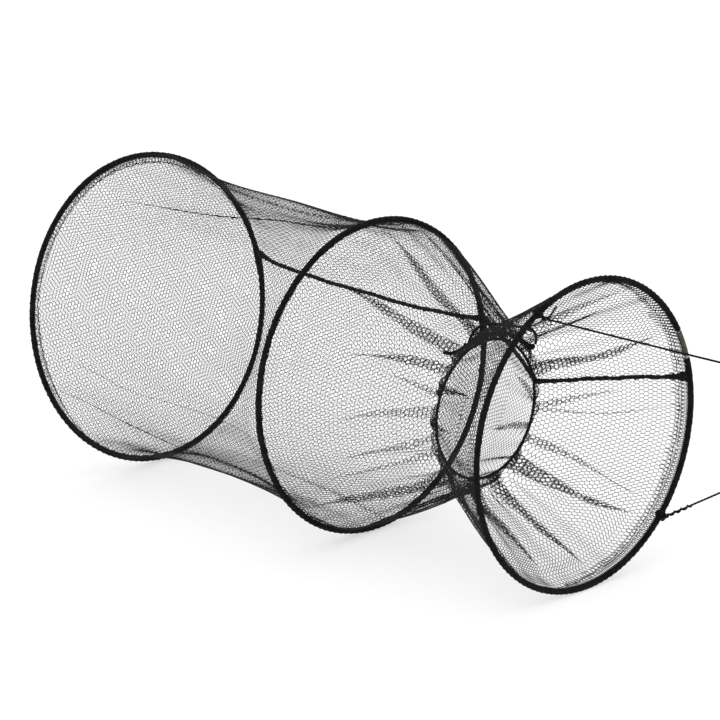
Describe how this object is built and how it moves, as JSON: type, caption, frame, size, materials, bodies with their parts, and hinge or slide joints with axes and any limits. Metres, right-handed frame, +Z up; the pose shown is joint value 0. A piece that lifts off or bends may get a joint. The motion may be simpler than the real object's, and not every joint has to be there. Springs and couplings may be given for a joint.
{
  "type": "folding crab trap",
  "caption": "Collapsible drum net trap: wire hoops joined by black netting, a netted base, a drawstring throat behind an open mouth, and a cord bridle.",
  "frame": {"origin": "foot of the middle hoop, on the surface that the trap lies on", "axes": "+X along the trap from the netted base to the open mouth, +Z up, +Y to the left seen from the mouth's back"},
  "size_m": [0.8799, 0.3197, 0.3093],
  "materials": {
    "wire": "drawn spring wire, dull grey",
    "ferrule": "crimped sleeve, dull olive grey",
    "binding": "black woven hem tape",
    "netting": "black knotless polyester mesh",
    "seam": "black overlocked cord seam",
    "cord": "black braided nylon cord"
  },
  "bodies": {
    "middle": {"middle_hoop": "wire", "middle_ferrule": "ferrule", "middle_binding": "binding", "middle_joint_wrap": "binding", "rear_funnel_net": "netting", "rear_funnel_seam": "seam", "front_funnel_net": "netting", "front_funnel_seam": "seam"},
    "chamber": {"chamber_net": "netting", "chamber_seam": "seam"},
    "base": {"base_hoop": "wire", "base_ferrule": "ferrule", "base_binding": "binding", "base_joint_wrap": "binding", "base_net": "netting"},
    "throat": {"throat_cord": "cord", "throat_knot": "cord", "throat_bow_right": "cord", "throat_bow_left": "cord", "throat_tail_left": "cord", "throat_tail_right": "cord"},
    "mouth": {"mouth_hoop": "wire", "mouth_ferrule": "ferrule", "mouth_binding": "binding", "bridle_knot_upper": "cord", "bridle_knot_lower": "cord"},
    "bridle": {"bridle_leg_upper": "cord", "bridle_leg_lower": "cord", "bridle_end_knot": "cord"}
  },
  "joints": [
    {"name": "chamber_fold", "type": "slide", "parent": "middle", "child": "chamber", "axis": [1, 0, 0], "range_m": [0, 0.2995], "deforming": ["chamber_net", "chamber_seam"]},
    {"name": "base_tilt", "type": "hinge", "parent": "chamber", "child": "base", "pos_m": [-0.30846, 0.01, 0.00313], "axis": [0, 1, 0], "range_deg": [0, 7.36]},
    {"name": "mouth_fold", "type": "slide", "parent": "middle", "child": "mouth", "axis": [-1, 0, 0], "range_m": [0, 0.2455], "deforming": ["rear_funnel_net", "rear_funnel_seam", "front_funnel_net", "front_funnel_seam"]},
    {"name": "throat_fold", "type": "slide", "parent": "middle", "child": "throat", "axis": [-1, 0, 0], "range_m": [0, 0.13235]},
    {"name": "bridle_swing", "type": "hinge", "parent": "mouth", "child": "bridle", "pos_m": [0.26, -0.04995, 0.26945], "axis": [0.0108, 0.6044, -0.7966], "range_deg": [-55, 70]}
  ],
  "couplings": [
    {"joint": "base_tilt", "follows": "chamber_fold", "rad_per_m": 0.42832},
    {"joint": "throat_fold", "follows": "mouth_fold", "ratio": 0.53906}
  ]
}
